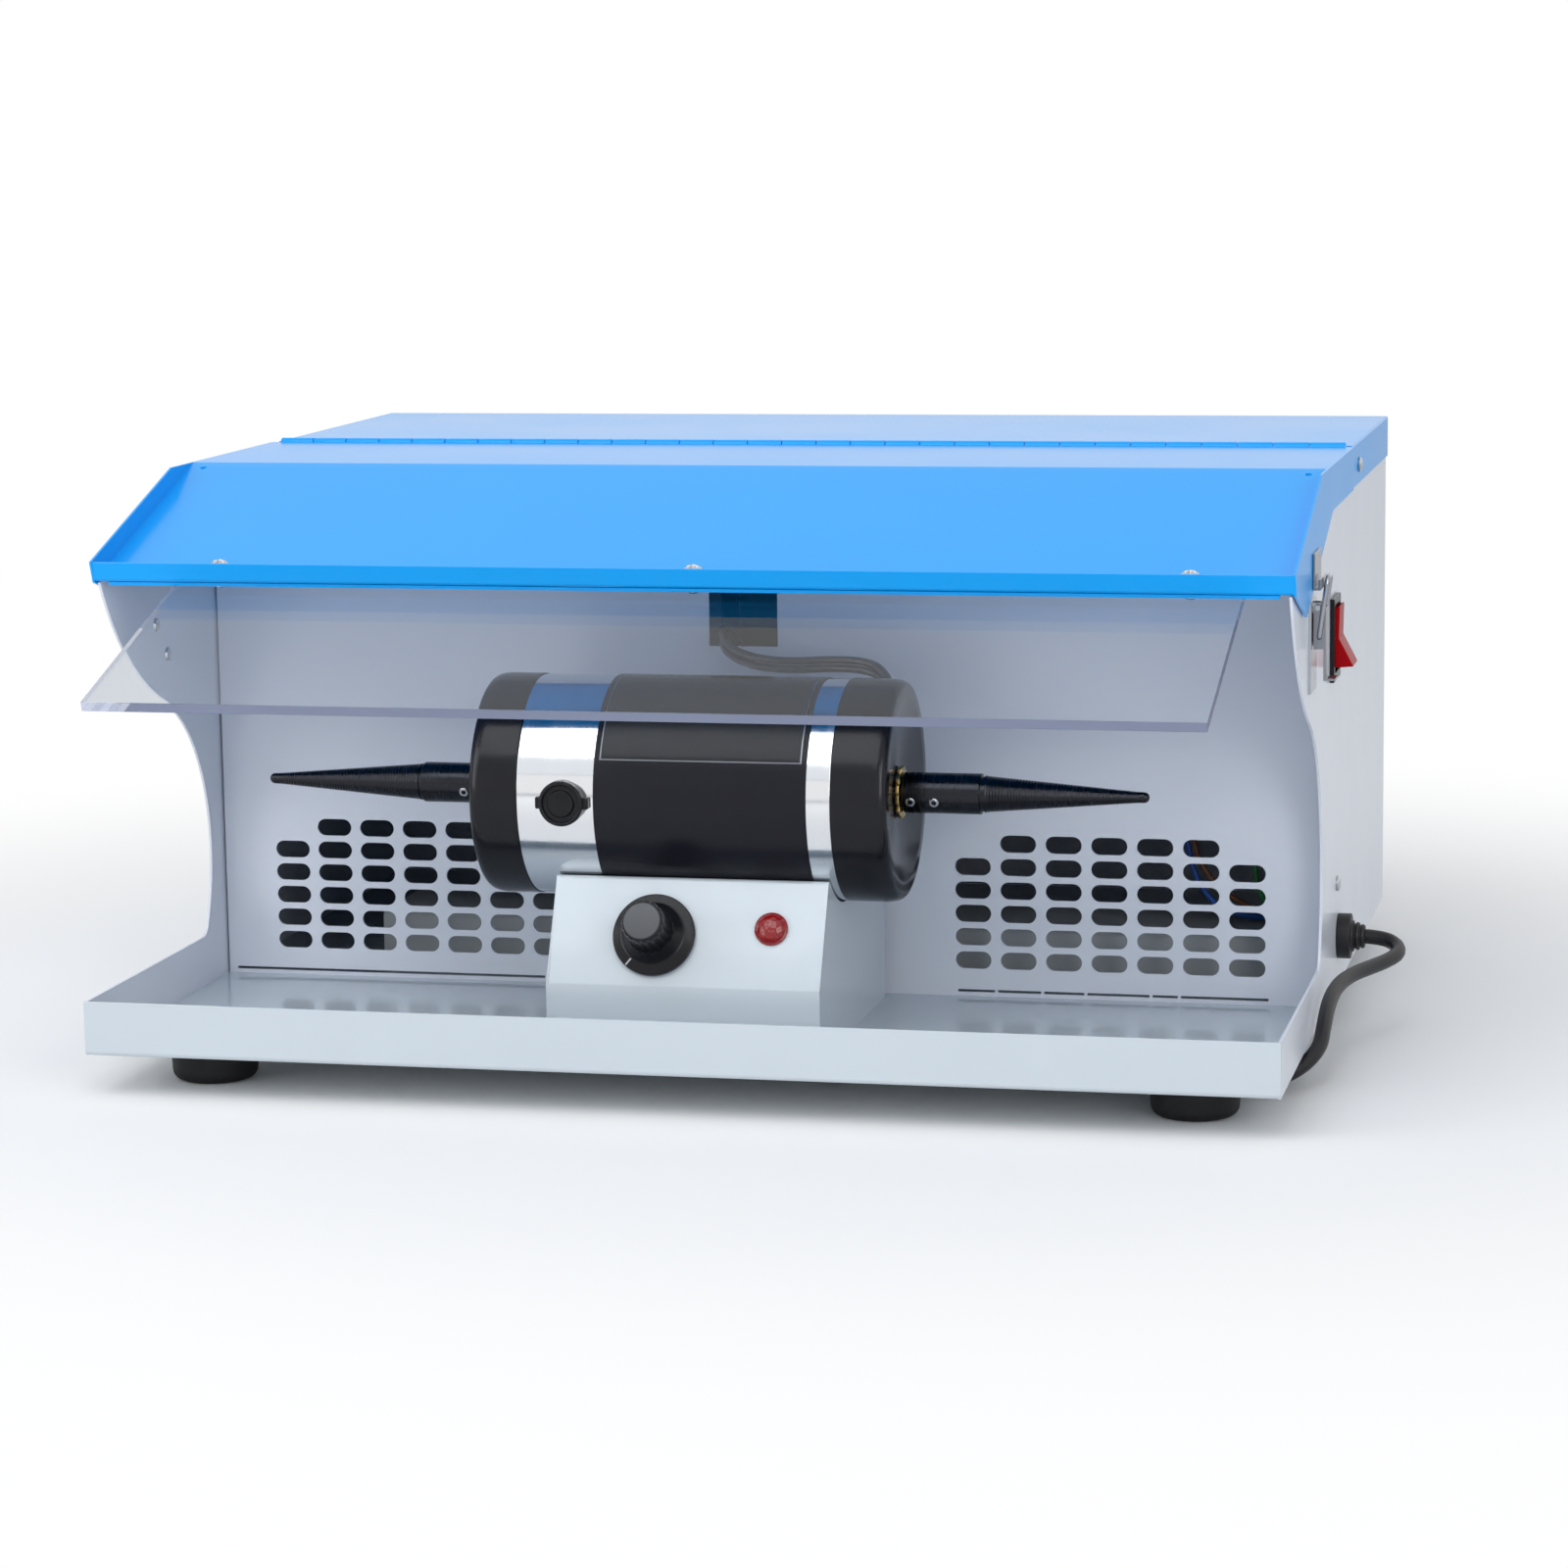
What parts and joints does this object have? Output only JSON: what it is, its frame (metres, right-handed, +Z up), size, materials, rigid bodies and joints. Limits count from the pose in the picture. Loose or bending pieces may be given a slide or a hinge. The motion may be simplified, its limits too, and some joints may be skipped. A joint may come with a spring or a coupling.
{
  "type": "dental polishing lathe",
  "caption": "Bench polishing motor with two taper spindles on a control box, in a sheet-metal dust cabinet with a hinged blue hood, clear visor, grille and rear fan.",
  "frame": {"origin": "on the surface that the feet stand on, under the middle of the machine's footprint without its mains cord", "axes": "+X to the right seen from the front, along the motor shaft; +Y from the visor to the back; +Z up"},
  "size_m": [0.5413, 0.6354, 0.2551],
  "materials": {
    "case_paint": "smooth light grey-white powder coat",
    "blue_paint": "glossy sky-blue enamel",
    "foot_rubber": "matt black rubber",
    "zinc_steel": "bright zinc plate",
    "chrome_wire": "polished nickel plate",
    "hinge_steel": "plain drawn steel",
    "clear_acrylic": "clear flat acrylic with polished edges",
    "polished_tube": "polished bright steel",
    "sleeve_black": "satin black enamel",
    "cap_black": "satin black enamel on cast aluminium",
    "black_steel": "oiled black oxide",
    "brass": "plain brass",
    "copper": "turned copper bars",
    "lamination": "stacked electrical steel",
    "carbon": "pressed carbon and fibre holder",
    "knob_plastic": "moulded black plastic with a grey cap",
    "lamp_lens": "translucent red plastic",
    "pot_metal": "stamped metal can",
    "board": "green circuit board with parts",
    "steel_bracket": "grey primer on folded steel",
    "fan_plastic": "moulded black nylon",
    "filter_paper": "pleated filter paper",
    "terminal_white": "natural nylon",
    "cable_grey": "grey twin flex",
    "brown_wire": "brown insulation",
    "blue_wire": "blue insulation",
    "green_wire": "green insulation",
    "switch_black": "moulded black plastic",
    "switch_red": "translucent red rocker",
    "cord_black": "black mains flex"
  },
  "bodies": {
    "case": {"base_tray": "case_paint", "side_panel_left": "case_paint", "side_panel_right": "case_paint", "back_wall": "case_paint", "rear_panel": "case_paint", "inner_ledge": "steel_bracket", "rear_cover": "blue_paint", "case_screws": "zinc_steel", "hinge_leaf_fixed": "blue_paint", "rubber_feet": "foot_rubber", "control_box": "case_paint", "indicator_lamp": "lamp_lens", "potentiometer": "pot_metal", "speed_board": "board", "motor_cradle": "steel_bracket", "cradle_bolts": "zinc_steel", "motor_tube": "polished_tube", "motor_sleeve": "sleeve_black", "end_cap_left": "cap_black", "end_cap_right": "cap_black", "stator_core": "lamination", "bearings": "zinc_steel", "carbon_brushes": "carbon", "brush_caps": "knob_plastic", "motor_cable": "cable_grey", "fan_frame": "fan_plastic", "fan_motor": "fan_plastic", "filter_frame": "fan_plastic", "filter_pad": "filter_paper", "terminal_block": "terminal_white", "switch_body": "switch_black", "latch_bases": "zinc_steel", "cord_gland": "cord_black", "power_cord": "cord_black", "power_cord_coil": "cord_black", "power_plug": "cord_black", "wire_brown": "brown_wire", "wire_blue": "blue_wire", "wire_green": "green_wire"},
    "lid": {"lid_panel": "blue_paint", "hinge_leaf_moving": "blue_paint", "hinge_pin": "hinge_steel", "visor": "clear_acrylic", "clamp_strip": "blue_paint", "visor_screws": "zinc_steel", "latch_keepers": "zinc_steel"},
    "rotor": {"motor_shaft": "hinge_steel", "armature": "lamination", "commutator": "copper", "taper_spindles": "black_steel", "lock_washers": "brass", "set_screws": "black_steel"},
    "fan": {"fan_impeller": "fan_plastic"},
    "knob": {"speed_knob": "knob_plastic", "potentiometer_shaft": "pot_metal"},
    "rocker": {"switch_rocker": "switch_red"},
    "latch_left": {"latch_lever_left": "zinc_steel"},
    "latch_right": {"latch_lever_right": "zinc_steel"},
    "bail_left": {"latch_bail_left": "chrome_wire"},
    "bail_right": {"latch_bail_right": "chrome_wire"}
  },
  "joints": [
    {"name": "lid_hinge", "type": "hinge", "parent": "case", "child": "lid", "pos_m": [0, 0.08114, 0.2522], "axis": [-1, 0, 0], "range_deg": [0, 105]},
    {"name": "rotor_spin", "type": "hinge", "parent": "case", "child": "rotor", "pos_m": [-0.0045, -0.09906, 0.1232], "axis": [1, 0, 0], "continuous": true},
    {"name": "fan_spin", "type": "hinge", "parent": "case", "child": "fan", "pos_m": [0, 0.22995, 0.136], "axis": [0, 1, 0], "continuous": true},
    {"name": "speed_knob_turn", "type": "hinge", "parent": "case", "child": "knob", "pos_m": [-0.0134, -0.1451, 0.0682], "axis": [0, 0.897, -0.442], "range_deg": [0, 280]},
    {"name": "power_rocker", "type": "hinge", "parent": "case", "child": "rocker", "pos_m": [0.25, 0.00844, 0.177], "axis": [0, 1, 0], "range_deg": [0, 26]},
    {"name": "latch_lever_left_turn", "type": "hinge", "parent": "case", "child": "latch_left", "pos_m": [-0.2532, -0.08056, 0.201], "axis": [0, 1, 0], "range_deg": [0, 115]},
    {"name": "latch_lever_right_turn", "type": "hinge", "parent": "case", "child": "latch_right", "pos_m": [0.2532, -0.08056, 0.201], "axis": [0, -1, 0], "range_deg": [0, 115]},
    {"name": "latch_bail_left_swing", "type": "hinge", "parent": "latch_left", "child": "bail_left", "pos_m": [-0.2539, -0.08056, 0.189], "axis": [0, -1, 0], "range_deg": [0, 115]},
    {"name": "latch_bail_right_swing", "type": "hinge", "parent": "latch_right", "child": "bail_right", "pos_m": [0.2539, -0.08056, 0.189], "axis": [0, 1, 0], "range_deg": [0, 115]}
  ],
  "couplings": [
    {"joint": "latch_bail_left_swing", "follows": "latch_lever_left_turn", "ratio": 1},
    {"joint": "latch_bail_right_swing", "follows": "latch_lever_right_turn", "ratio": 1}
  ]
}
